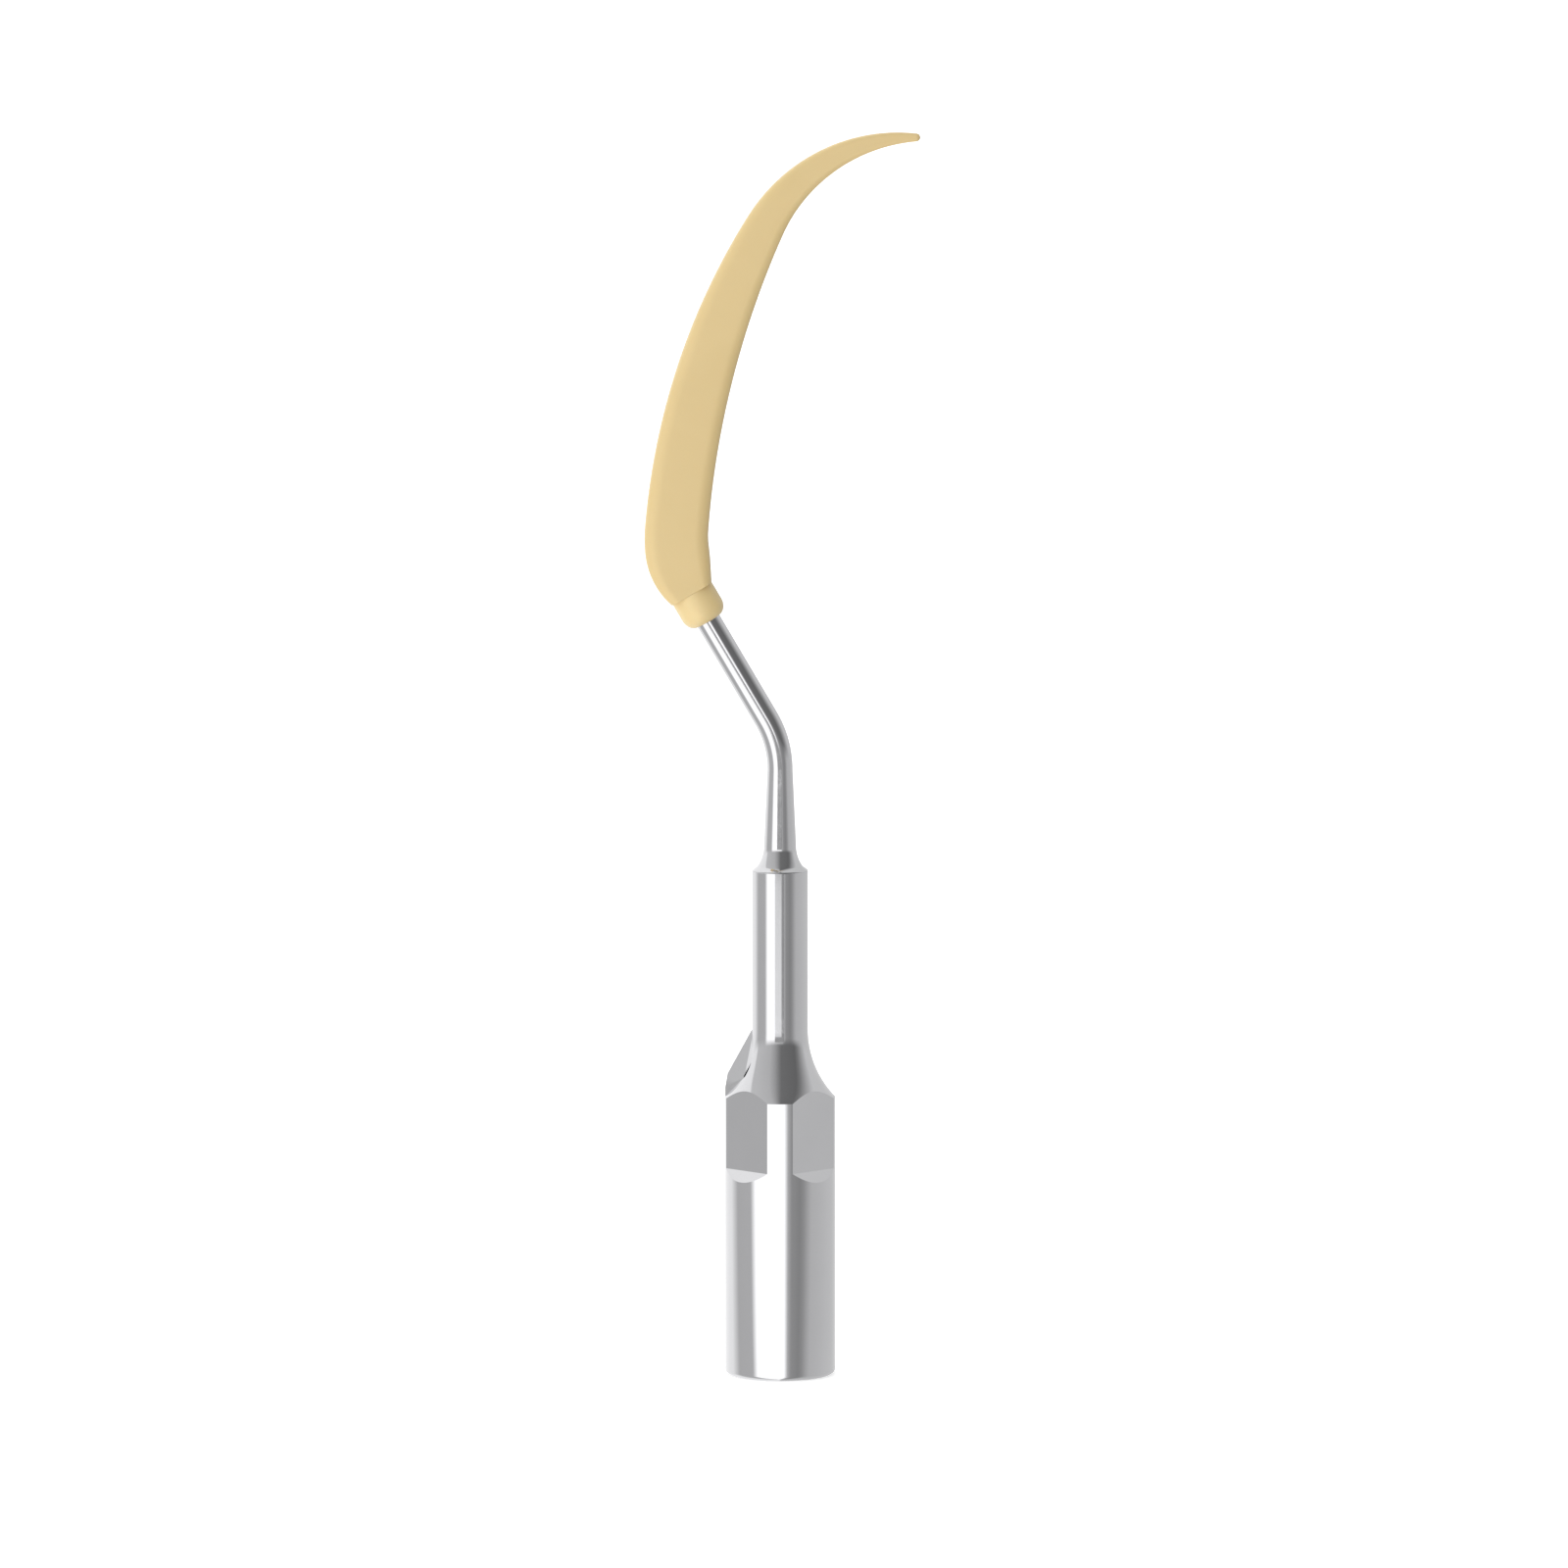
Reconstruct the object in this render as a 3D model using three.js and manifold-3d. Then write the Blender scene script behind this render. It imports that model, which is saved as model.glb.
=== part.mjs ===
// Piezo-driven dental scaler tip: a turned stainless holder with a threaded socket and wrench
// flats, a bent steel shank pressed into its stem, and a curved PEEK blade on the shank's end.
// Millimetres, +Z up. The origin is the centre of the socket's mouth, +Z runs along the socket,
// and the shank and the blade bend in the XZ plane, with the blade's point towards +X.
import * as THREE from "three";
import { ConvexGeometry } from "three/addons/geometries/ConvexGeometry.js";
import { mergeVertices } from "three/addons/utils/BufferGeometryUtils.js";
import Module from "manifold-3d";

// ---- driving dimensions ----
// holder, outside
const bodyDiameter = 4.7;
const bodyHeight = 11.9; // mouth to the shoulder where the neck begins
const mouthChamfer = 0.18;
const flatDepth = 0.35; // wrench flats, below the body's surface
const flatCount = 4;
const flatHeight = 3.0; // from the ledge up to the shoulder
const ledgeSlope = 0.45; // drop of the cutter's run-out below the flat
const neckRadius = 4.2; // concave sweep from the body to the stem
const stemDiameter = 2.38;
const stemTop = 21.6; // height of the holder
const stemEdge = 0.03; // broken edge at the stem's top
const finDepth = 0.7; // fin on the neck's left side, from its sharp edge to its buried back
const finInset = 0.02; // its edge, inside the body's surface
const finFoot = 0.4; // above and below the shoulder, where it leaves the body
const finKneeRise = 1.0; // where its edge turns towards the stem
const finKneeInset = 0.1;

// holder, inside
const threadMajor = 3.0; // M3 x 0.6
const threadPitch = 0.6;
const threadDepth = 0.3; // of the cut, from the minor diameter outwards
const threadTurns = 8;
const threadRootShare = 0.46; // half of the cut's width at the minor diameter, in pitches
const threadCrestShare = 0.08; // the same at the major diameter
const threadOverlap = 0.08; // of the cutter, inwards of the minor diameter
const leadIn = 0.3; // countersink at the mouth
const reliefLength = 0.9; // plain bore above the thread
const drillPointAngle = 59; // half of the drill's 118 degrees
const waterBore = 0.9;

// shank
const spigotDiameter = 1.3;
const spigotLength = 3.0;
const spigotClearance = 0.02;
const boreLeadIn = 0.08; // bevel that starts the spigot in its bore
const rootRimHeight = 0.26; // on the stem's top, under the root flare
const rootRimDraw = 0.03; // its narrowing
const rootDiameter = 1.38; // at the top of the root flare
const rootFlareRadius = 1.45;
const shankDiameter = 1.08;
const bendRise = 5.5; // from the stem's top to where the shank's two straight lines cross
const bendAngle = 30.4; // degrees, towards -X
const bendRadius = 4.3;
const shankReach = 6.0; // from that crossing to the collar's free end
const shankBore = 0.5;
const outletDiameter = 0.34;
const outletRise = 0.75; // above the stem's top, at the back
const tangDiameter = 0.9;
const tangLength = 2.2; // beyond the collar
const grooveDepth = 0.09;
const grooveWidth = 0.24;
const grooveCount = 4;

// collar
const collarWall = 0.4; // round the shank
const collarLength = 1.4;
const collarRound = 0.55; // length of its rounded free end
const collarBevel = 0.06; // at the blade's end
const fitClearance = 0.02;

// blade: a straight root, then three tangent arcs, each radius in mm and sweep in degrees
const bladeRoot = 0.03; // beyond the collar
const bladeArcs = [
  { radius: 4.6, sweep: 34.8 },
  { radius: 32.7, sweep: 23.6 },
  { radius: 7.14, sweep: 64.2 },
];
const bladeWidth = 2.72; // across the curve, at its widest
const bladeThickness = 1.92; // along Y, at the root
const bladeSwell = 1.9; // from the collar to the widest place
const rootShare = 0.72; // width at the root, as a share of the widest
const pointWidth = 0.3;
const pointRound = 0.16;
const pointClosing = 0.97; // of the rounding; what is left is the point's small flat end
const taperPower = 1.3;
const sectionPower = 3.4; // 2 is an ellipse, and more is squarer

// facets
const turnSegments = 48;
const boreSegments = 32;
const bladeSides = 24;
const bladeSteps = 64;
const neckSteps = 10;
const flareSteps = 7;
const rodSteps = 20;
const cornerSteps = 6;
const endCrowding = 0.75; // 0 spaces the blade's steps evenly, and 1 crowds them at its ends

const bodyRadius = bodyDiameter / 2;
const stemRadius = stemDiameter / 2;
const bendHeight = stemTop + bendRise;
const rad = THREE.MathUtils.degToRad;

// ---- solids and joins ----
const wasm = await Module();
wasm.setup();

function solid(geometry) {
  const bare = geometry.clone();
  bare.deleteAttribute("normal");
  bare.deleteAttribute("uv");
  const merged = mergeVertices(bare, 1e-5);
  return new wasm.Manifold(
    new wasm.Mesh({
      numProp: 3,
      vertProperties: merged.attributes.position.array,
      triVerts: new Uint32Array(merged.index.array),
    }),
  );
}

function geometryOf(manifold) {
  const { vertProperties, triVerts } = manifold.getMesh();
  const geometry = new THREE.BufferGeometry();
  geometry.setAttribute("position", new THREE.BufferAttribute(vertProperties, 3));
  geometry.setIndex(new THREE.BufferAttribute(triVerts, 1));
  geometry.computeVertexNormals();
  return geometry;
}

// A profile of [radius, height] pairs turned about +Z.
function turned(profile, segments = turnSegments) {
  const points = profile.map(([r, z]) => new THREE.Vector2(r, z));
  return new THREE.LatheGeometry(points, segments).rotateX(Math.PI / 2);
}

// Points of a concave sweep from a wide radius up to a narrow one that it meets upright.
function sweepPoints(wide, narrow, base, radius, count) {
  const drop = Math.min(wide - narrow, radius);
  const height = Math.sqrt(radius ** 2 - (radius - drop) ** 2);
  const start = Math.asin(height / radius);
  return Array.from({ length: count + 1 }, (_, i) => {
    const angle = start * (1 - i / count);
    return [narrow + radius * (1 - Math.cos(angle)), base + height - radius * Math.sin(angle)];
  });
}

// ---- centre lines: straight runs and tangent arcs in the XZ plane ----
// Heading is measured from +Z towards +X. The result gives place and heading at a distance along.
function centreLine(start, runs) {
  const pieces = [];
  let { x, z, heading } = start;
  let from = 0;
  for (const { length, radius, sweep = 0 } of runs) {
    const turn = rad(sweep);
    const span = radius ? radius * Math.abs(turn) : length;
    pieces.push({ from, span, x, z, heading, rate: turn / span });
    ({ x, z, heading } = along({ x, z, heading, rate: turn / span }, span));
    from += span;
  }
  const line = (s) => {
    const piece = pieces.findLast((p) => s >= p.from) ?? pieces[0];
    return along(piece, s - piece.from);
  };
  line.span = from;
  return line;
}

function along({ x, z, heading, rate }, s) {
  if (Math.abs(rate) < 1e-9) {
    return { x: x + s * Math.sin(heading), z: z + s * Math.cos(heading), heading };
  }
  const end = heading + rate * s;
  return {
    x: x + (Math.cos(heading) - Math.cos(end)) / rate,
    z: z + (Math.sin(end) - Math.sin(heading)) / rate,
    heading: end,
  };
}

// Lays a straight geometry, which runs along +Z, on a centre line.
function bentOn(line, geometry) {
  const place = geometry.attributes.position;
  for (let i = 0; i < place.count; i++) {
    const { x, z, heading } = line(place.getZ(i));
    const across = place.getX(i);
    place.setX(i, x + across * Math.cos(heading));
    place.setZ(i, z - across * Math.sin(heading));
  }
  return geometry;
}

const bendTangent = bendRadius * Math.tan(rad(bendAngle) / 2);
const shankLine = centreLine({ x: 0, z: 0, heading: 0 }, [
  { length: bendHeight - bendTangent },
  { radius: bendRadius, sweep: -bendAngle },
  { length: shankReach - bendTangent + collarLength + tangLength },
]);
const collarStart = bendHeight - 2 * bendTangent + bendRadius * rad(bendAngle) + shankReach;
const bladeRuns = [{ length: collarLength + bladeRoot }, ...bladeArcs];
const bladeLine = centreLine(shankLine(collarStart), bladeRuns);

// ---- holder ----
const threadTop = leadIn + threadTurns * threadPitch;
const minorRadius = threadMajor / 2 - threadDepth;
const socketTop = threadTop + reliefLength;
const drillPoint = (minorRadius - waterBore / 2) / Math.tan(rad(drillPointAngle));
const spigotFloor = stemTop - spigotLength - spigotClearance;
const spigotBore = spigotDiameter / 2 + spigotClearance;

function holderBlank() {
  const neck = sweepPoints(bodyRadius, stemRadius, bodyHeight, neckRadius, neckSteps);
  return solid(
    turned([
      [threadMajor / 2 + leadIn / 2, 0],
      [bodyRadius - mouthChamfer, 0],
      [bodyRadius, mouthChamfer],
      ...neck,
      [stemRadius, stemTop - stemEdge],
      [stemRadius - stemEdge, stemTop],
      [spigotBore + boreLeadIn, stemTop],
      [spigotBore, stemTop - boreLeadIn],
      [spigotBore, spigotFloor],
      [waterBore / 2, spigotFloor],
      [waterBore / 2, socketTop + drillPoint],
      [minorRadius, socketTop],
      [minorRadius, leadIn],
      [threadMajor / 2 + leadIn / 2, 0],
    ]),
  );
}

// The cutter's shape seen from the flat's side: upright face, then the sloped ledge.
function flatCutter(index) {
  const reach = bodyRadius;
  const ledge = bodyHeight - flatHeight;
  const shape = new THREE.Shape();
  shape.moveTo(0, ledge);
  shape.lineTo(flatDepth + reach, ledge - (ledgeSlope * (flatDepth + reach)) / flatDepth);
  shape.lineTo(flatDepth + reach, stemTop);
  shape.lineTo(0, stemTop);
  const cutter = new THREE.ExtrudeGeometry(shape, { depth: 2 * bodyRadius, bevelEnabled: false });
  cutter.translate(bodyRadius - flatDepth, 0, -bodyRadius).rotateX(Math.PI / 2);
  return solid(cutter.rotateZ(((index + 0.5) * 2 * Math.PI) / flatCount));
}

// Internal thread: a trapezium swept up a helix, which the blank is cut by.
function threadCutter() {
  const inner = minorRadius - threadOverlap;
  const root = threadPitch * threadRootShare;
  const crest = threadPitch * threadCrestShare;
  const steps = threadTurns * boreSegments;
  const profile = new THREE.Shape();
  profile.moveTo(inner, -root);
  profile.lineTo(threadMajor / 2, -crest);
  profile.lineTo(threadMajor / 2, crest);
  profile.lineTo(inner, root);
  const coil = new THREE.ExtrudeGeometry(profile, { depth: 1, steps, bevelEnabled: false });
  const place = coil.attributes.position;
  for (let i = 0; i < place.count; i++) {
    const turn = place.getZ(i) * threadTurns;
    const radius = place.getX(i);
    const angle = -turn * 2 * Math.PI;
    const height = leadIn + turn * threadPitch + place.getY(i);
    place.setXYZ(i, radius * Math.cos(angle), radius * Math.sin(angle), height);
  }
  return solid(coil);
}

// A fin that fills the sweep on one side, its two faces parallel to the flats beside it.
function neckFin() {
  const neckTop = sweepPoints(bodyRadius, stemRadius, bodyHeight, neckRadius, 1).at(-1)[1];
  const outside = bodyRadius - finInset;
  const edge = [
    [outside, bodyHeight - finFoot],
    [outside, bodyHeight + finFoot],
    [outside - finKneeInset, bodyHeight + finKneeRise],
    [stemRadius, neckTop],
  ];
  const corners = edge.flatMap(([r, z]) => [
    new THREE.Vector3(-r, 0, z),
    new THREE.Vector3(finDepth - r, -finDepth, z),
    new THREE.Vector3(finDepth - r, finDepth, z),
  ]);
  return solid(new ConvexGeometry(corners));
}

function socketBody() {
  let body = holderBlank();
  for (let i = 0; i < flatCount; i++) body = body.subtract(flatCutter(i));
  return geometryOf(body.add(neckFin()).subtract(threadCutter()));
}

// ---- shank: turned straight, then bent ----
function shank() {
  const bottom = stemTop - spigotLength;
  const seat = stemTop + spigotClearance;
  const rimRadius = stemRadius - stemEdge;
  const flareBase = seat + rootRimHeight;
  const flareFoot = rimRadius - rootRimDraw;
  const boreTop = stemTop + outletRise;
  const shoulder = collarStart + collarLength;
  const straight = turned(
    [
      [shankBore / 2, bottom],
      [spigotDiameter / 2, bottom],
      [spigotDiameter / 2, seat],
      [rimRadius, seat],
      ...sweepPoints(flareFoot, rootDiameter / 2, flareBase, rootFlareRadius, flareSteps),
      ...rodPoints(bendHeight - bendTangent, shoulder),
      ...tangPoints(shoulder),
      [0, boreTop + shankBore / 4],
      [shankBore / 2, boreTop],
      [shankBore / 2, bottom],
    ],
    boreSegments,
  );
  const outletRadius = outletDiameter / 2;
  const outletSize = [outletRadius, outletRadius, stemRadius];
  const outlet = new THREE.CylinderGeometry(...outletSize, boreSegments / 2);
  outlet.translate(0, stemRadius / 2, boreTop - outletRadius);
  return geometryOf(solid(bentOn(shankLine, straight)).subtract(solid(outlet)));
}

function rodPoints(bottom, top) {
  return Array.from({ length: rodSteps + 1 }, (_, i) => [
    shankDiameter / 2,
    bottom + ((top - bottom) * i) / rodSteps,
  ]);
}

// The tang that the blade is moulded round, with grooves that hold the moulding on.
function tangPoints(bottom) {
  const radius = tangDiameter / 2;
  const end = bottom + tangLength;
  const pitch = tangLength / (grooveCount + 1);
  const grooves = Array.from({ length: grooveCount }, (_, i) => {
    const middle = bottom + pitch * (i + 1);
    return [
      [radius, middle - grooveWidth / 2],
      [radius - grooveDepth, middle - grooveWidth / 2 + grooveDepth],
      [radius - grooveDepth, middle + grooveWidth / 2 - grooveDepth],
      [radius, middle + grooveWidth / 2],
    ];
  });
  return [
    [radius, bottom],
    ...grooves.flat(),
    [radius, end - grooveDepth],
    [radius - grooveDepth, end],
    [0, end],
  ];
}

// ---- collar and blade ----
function bladeCollar() {
  const bore = shankDiameter / 2 + fitClearance;
  const radius = bore + collarWall;
  const top = collarLength - fitClearance;
  const corner = Array.from({ length: cornerSteps + 1 }, (_, i) => {
    const angle = ((i / cornerSteps) * Math.PI) / 2;
    return [bore + collarWall * Math.sin(angle), collarRound * (1 - Math.cos(angle))];
  });
  const straight = turned(
    [
      ...corner,
      [radius, top - collarBevel],
      [radius - collarBevel, top],
      [bore, top],
      [bore, 0],
    ],
    boreSegments,
  );
  return bentOn((s) => shankLine(collarStart + s), straight);
}

// The blade's half width and half thickness at a distance from the collar's free end.
function bladeHalves(s) {
  const share = Math.min(s / bladeLine.span, 1);
  const taper = Math.cos((Math.PI / 2) * share ** taperPower);
  const swell = THREE.MathUtils.clamp((s - collarLength) / bladeSwell, 0, 1);
  const rise = 1 - (1 - rootShare) * (1 - swell) ** 2;
  const past = Math.max(0, s - (bladeLine.span - pointRound)) / pointRound;
  const end = Math.sqrt(1 - pointClosing * past ** 2);
  const width = rise * (pointWidth + (bladeWidth - pointWidth) * taper);
  const thickness = pointWidth + (bladeThickness - pointWidth) * taper;
  return [(end * width) / 2, (end * thickness) / 2];
}

function blade() {
  const outline = Array.from({ length: bladeSides }, (_, i) => {
    const angle = (i / bladeSides) * 2 * Math.PI;
    const squared = (v) => Math.sign(v) * Math.abs(v) ** (2 / sectionPower);
    return new THREE.Vector2(squared(Math.cos(angle)), squared(Math.sin(angle)));
  });
  const section = new THREE.Shape(outline);
  const skin = new THREE.ExtrudeGeometry(section, {
    depth: 1,
    steps: bladeSteps,
    bevelEnabled: false,
  });
  const place = skin.attributes.position;
  const length = bladeLine.span - collarLength;
  for (let i = 0; i < place.count; i++) {
    const u = place.getZ(i);
    const crowd = (endCrowding * Math.sin(2 * Math.PI * u)) / (2 * Math.PI);
    const s = collarLength + length * (u - crowd);
    const [across, deep] = bladeHalves(s);
    place.setXYZ(i, place.getX(i) * across, place.getY(i) * deep, s);
  }
  const body = solid(bentOn(bladeLine, skin));
  return geometryOf(body.subtract(bladeBore()));
}

// Room for the shank's tang, which the moulding closes on.
function bladeBore() {
  const radius = tangDiameter / 2 + fitClearance;
  const past = 0.5; // through the root's face
  const straight = turned(
    [
      [0, collarLength - past],
      [radius, collarLength - past],
      [radius, collarLength + tangLength + fitClearance],
      [0, collarLength + tangLength + fitClearance],
    ],
    boreSegments,
  );
  return solid(bentOn((s) => shankLine(collarStart + s), straight));
}

// ---- materials and the assembly ----
const stainless = new THREE.MeshStandardMaterial({
  color: 0xcfd0d2,
  metalness: 1,
  roughness: 0.18,
});
const peek = new THREE.MeshStandardMaterial({
  color: 0xe2ca91,
  metalness: 0,
  roughness: 0.55,
});

function mesh(name, geometry, material) {
  const made = new THREE.Mesh(geometry, material);
  made.name = name;
  return made;
}

const tip = new THREE.Group();
tip.add(
  mesh("socket_body", socketBody(), stainless),
  mesh("shank", shank(), stainless),
  mesh("blade_collar", bladeCollar(), peek),
  mesh("blade", blade(), peek),
);

export default tip;
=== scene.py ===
"""Looks of a screw-on dental scaler tip: polished steel holder and shank, moulded PEEK blade."""

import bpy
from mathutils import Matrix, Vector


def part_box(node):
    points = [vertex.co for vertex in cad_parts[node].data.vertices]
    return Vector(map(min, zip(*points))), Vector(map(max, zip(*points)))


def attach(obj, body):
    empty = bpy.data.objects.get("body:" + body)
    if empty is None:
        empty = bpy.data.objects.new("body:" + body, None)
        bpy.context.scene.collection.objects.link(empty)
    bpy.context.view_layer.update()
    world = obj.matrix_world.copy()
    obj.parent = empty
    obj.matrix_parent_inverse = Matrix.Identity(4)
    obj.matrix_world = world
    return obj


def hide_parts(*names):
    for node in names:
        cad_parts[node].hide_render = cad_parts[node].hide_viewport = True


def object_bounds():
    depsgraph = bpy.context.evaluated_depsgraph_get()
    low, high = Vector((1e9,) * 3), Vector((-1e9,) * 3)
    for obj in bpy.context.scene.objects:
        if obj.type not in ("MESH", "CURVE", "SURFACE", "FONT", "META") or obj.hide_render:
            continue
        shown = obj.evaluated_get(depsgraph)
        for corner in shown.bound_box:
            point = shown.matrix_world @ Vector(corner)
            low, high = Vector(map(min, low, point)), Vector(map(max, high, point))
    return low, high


bl_info = {
    "name": "Scaler Tip",
    "version": (1, 0, 0),
    "blender": (4, 5, 0),
    "location": "3D View > Sidebar > Scaler Tip",
    "description": "Builds a screw-on scaler tip and its small studio",
    "category": "Object",
}

import math
from itertools import pairwise

import bpy
from mathutils import Vector

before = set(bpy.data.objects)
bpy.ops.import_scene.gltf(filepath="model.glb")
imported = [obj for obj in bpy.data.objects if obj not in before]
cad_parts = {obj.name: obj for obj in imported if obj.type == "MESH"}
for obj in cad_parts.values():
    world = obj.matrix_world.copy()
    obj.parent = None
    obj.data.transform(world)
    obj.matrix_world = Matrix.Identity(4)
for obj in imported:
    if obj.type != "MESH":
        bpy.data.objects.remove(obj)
CAD_LOW, CAD_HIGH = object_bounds()

# Pieces are modelled in millimetres and brought to metres when they are finished.
MM = 0.001
FIT = 0.02  # clearance between two pieces, mm
SEAM = 0.004  # what shows of it where two pieces meet on the outside

# Small sizes that nobody would change on their own, mm.
DRILL_POINT = math.radians(59)  # half of the drill's 118 degrees
MOUTH_KNEE = (0.3, 0.45)  # breaks the mouth's chamfer in two: shares of it inwards and up
THREAD_ROOT, THREAD_CREST = 0.46, 0.08  # half widths of the thread's cut, in pitches
THREAD_OVERLAP = 0.08  # of its cutter, inwards of the minor diameter
TANG_BEVEL = 0.1
ROOM_OVERRUN = 0.2  # of the tang's room, through the blade's root
POINT_CLOSING = 0.995  # of the point's rounding; what is left is its small flat end

# Sides of a full turn and steps of a curve, fine enough that no outline shows a corner.
HOLDER_SIDES = 192
SHANK_SIDES = 128
COLLAR_SIDES = 96
ROOM_SIDES = 64
OUTLET_SIDES = 48
THREAD_SIDES = 64
NECK_STEPS = 28
RIM_STEPS = 8
FLARE_STEPS = 20
ROD_STEPS = 60
COLLAR_STEPS = 16
EDGE_STEPS = 10
BLADE_STEPS = 160
CROWDING = 0.75  # 0 spaces the blade's steps evenly, and 1 crowds them at its ends


def node_size(node):
    """Lowest and highest corner of a CAD node, in millimetres."""
    low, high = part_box(node)
    return low / MM, high / MM


BODY_LOW, BODY_HIGH = node_size("socket_body")
SHANK_LOW, _ = node_size("shank")


# ---------------------------------------------------------------------------
# What a user would change
# ---------------------------------------------------------------------------


def size(name, text, value, low=0.0, high=100.0):
    """A length in millimetres."""
    text += ", in mm"
    return bpy.props.FloatProperty(name=name, description=text, default=value, min=low, max=high)


def angle(name, text, degrees):
    """An angle, kept in radians and shown in degrees."""
    turn = math.radians(degrees)
    return bpy.props.FloatProperty(name=name, description=text, default=turn, subtype="ANGLE")


def factor(name, text, value, high):
    """A plain number that scales or bends something else."""
    return bpy.props.FloatProperty(name=name, description=text, default=value, min=0.1, max=high)


def count(name, text, value, low, high):
    return bpy.props.IntProperty(name=name, description=text, default=value, min=low, max=high)


def srgb(hex_code):
    """Linear RGB of an sRGB hex colour."""
    channels = [int(hex_code[i : i + 2], 16) / 255 for i in (1, 3, 5)]
    return [c / 12.92 if c <= 0.04045 else ((c + 0.055) / 1.055) ** 2.4 for c in channels]


def colour(name, text, hex_code):
    return bpy.props.FloatVectorProperty(
        name=name,
        description=text,
        default=srgb(hex_code),
        subtype="COLOR",
        size=3,
        min=0,
        max=1,
    )


class HolderSizes(bpy.types.PropertyGroup):
    """Turned steel holder."""

    body: size("Body diameter", "Outside of the socket", BODY_HIGH.y - BODY_LOW.y)
    shoulder: size("Shoulder", "Height where the neck begins", 11.9)
    mouth_chamfer: size("Mouth chamfer", "Outer bevel of the end face", 0.18)
    flat_depth: size("Flat depth", "Depth of a wrench flat below the body's surface", 0.35)
    flat_height: size("Flat height", "Ledge up to the shoulder", 3.0)
    ledge_drop: size("Ledge drop", "Fall of the ledge over the flat's depth", 0.45)
    neck_radius: size("Neck radius", "Concave sweep from the body to the stem", 4.2)
    stem: size("Stem diameter", "Outside of the stem", 2.38)
    top: size("Height", "Top of the stem", BODY_HIGH.z)
    stem_edge: size("Stem edge", "Broken edge on the stem's top", 0.01)
    fin: size("Fin depth", "Fin on the neck's left side, from its edge to its buried back", 0.7)
    fin_foot: size("Fin foot", "Height above the shoulder where the fin leaves the body", 0.4)
    fin_knee: size("Fin knee", "Height above the shoulder where the fin's edge turns", 1.0)
    fin_knee_inset: size("Fin knee inset", "Of the edge at the knee, from the body's surface", 0.1)
    thread: size("Thread diameter", "Major diameter of the socket's thread", 3.0)
    pitch: size("Pitch", "Pitch of the thread", 0.6)
    thread_depth: size("Thread depth", "From the minor diameter outwards", 0.3)
    lead_in: size("Lead-in", "Countersink at the mouth", 0.3)
    relief: size("Relief", "Plain bore above the thread", 0.9)
    water: size("Water bore", "Diameter of the water channel", 0.9)
    flats: count("Flats", "Number of wrench flats", 4, 2, 8)
    turns: count("Turns", "Turns of thread", 8, 1, 20)
    steel: colour("Steel", "Colour of the polished steel", "#cfcfd1")


class ShankSizes(bpy.types.PropertyGroup):
    """Bent steel shank."""

    spigot: size("Spigot diameter", "The part inside the stem", 1.3)
    rim_height: size("Rim height", "Rim on the stem's top", 0.17)
    rim_round: size("Rim round", "Rounded edge of the rim", 0.06)
    rim_turn: angle("Rim turn", "How far the edge rounds over before the rim's cone", 55)
    root: size("Root diameter", "Top of the root flare", 1.38)
    flare: size("Flare radius", "Concave sweep of the root", 1.45)
    rod: size("Rod diameter", "Shank above the taper", 1.08)
    bend_height: size("Bend height", "Where the two straight lines cross", 27.1)
    bend_angle: angle("Bend angle", "Lean of the upper shank", 30.4)
    bend_radius: size("Bend radius", "Of the centre line", 4.3)
    reach: size("Reach", "From the crossing to the collar", 6.0)
    bore: size("Bore", "Water channel", 0.5)
    outlet: size("Outlet", "Water hole at the back of the root", 0.34)
    outlet_rise: size("Outlet rise", "Above the stem's top", 0.75)
    tang: size("Tang diameter", "The part inside the blade", 0.9)
    tang_length: size("Tang length", "Beyond the collar", 2.2)


class BladeSizes(bpy.types.PropertyGroup):
    """Moulded collar and blade."""

    collar_wall: size("Collar wall", "Round the shank", 0.4)
    collar_length: size("Collar length", "Along the shank", 1.4)
    collar_round: size("Collar round", "Length of its rounded free end", 0.55)
    width: size("Width", "Across the curve, at the widest", 2.72)
    thickness: size("Thickness", "At the root", 1.92)
    point: size("Point", "Width and thickness at the point", 0.3)
    point_round: size("Point round", "Length of the rounded point", 0.16)
    swell: size("Swell", "From the collar's end to the widest place", 3.3)
    root_share: factor("Root share", "Width at the root, as a share of the widest", 0.72, 1)
    taper: factor("Taper", "Power that keeps the blade broad before it narrows", 1.3, 4)
    edge: size("Edge round", "Rounded edge of the flat face, at the widest", 0.42)
    peek: colour("Blade PEEK", "Colour of the moulded blade", "#e4ca90")
    # The collar's paler PEEK is a painted highlight. It is a lighter copy of the blade's PEEK that
    # stands in for the light falling on the collar's rounded end.
    collar_peek_painted_highlight: colour("Collar PEEK", "Colour of the moulded collar, a little paler", "#ecd399")


# The blade's centre line after the collar's free end: (length), or (radius, sweep in degrees).
BLADE_RUNS = [(1.43,), (4.6, 34.8), (32.7, 23.6), (7.14, 64.2)]


class StudioSettings(bpy.types.PropertyGroup):
    """Camera, floor and light."""

    distance: size("Camera distance", "From the aim to the camera", 700, 100, 5000)
    elevation: angle("Elevation", "Camera above the horizon", 7)
    span: size("Span", "Width that the frame takes in", 66.56, 10, 500)
    aim_x: size("Aim across", "Middle of the frame, to the right of the socket", 0.17, -50, 50)
    aim_z: size("Aim height", "Middle of the frame above the mouth", 25.3, -50, 200)


# ---------------------------------------------------------------------------
# Modelling helpers
# ---------------------------------------------------------------------------


def clear_selection():
    if bpy.context.object and bpy.context.object.mode != "OBJECT":
        bpy.ops.object.mode_set(mode="OBJECT")
    bpy.ops.object.select_all(action="DESELECT")


def make_active(piece):
    clear_selection()
    piece.select_set(True)
    bpy.context.view_layer.objects.active = piece


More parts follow.
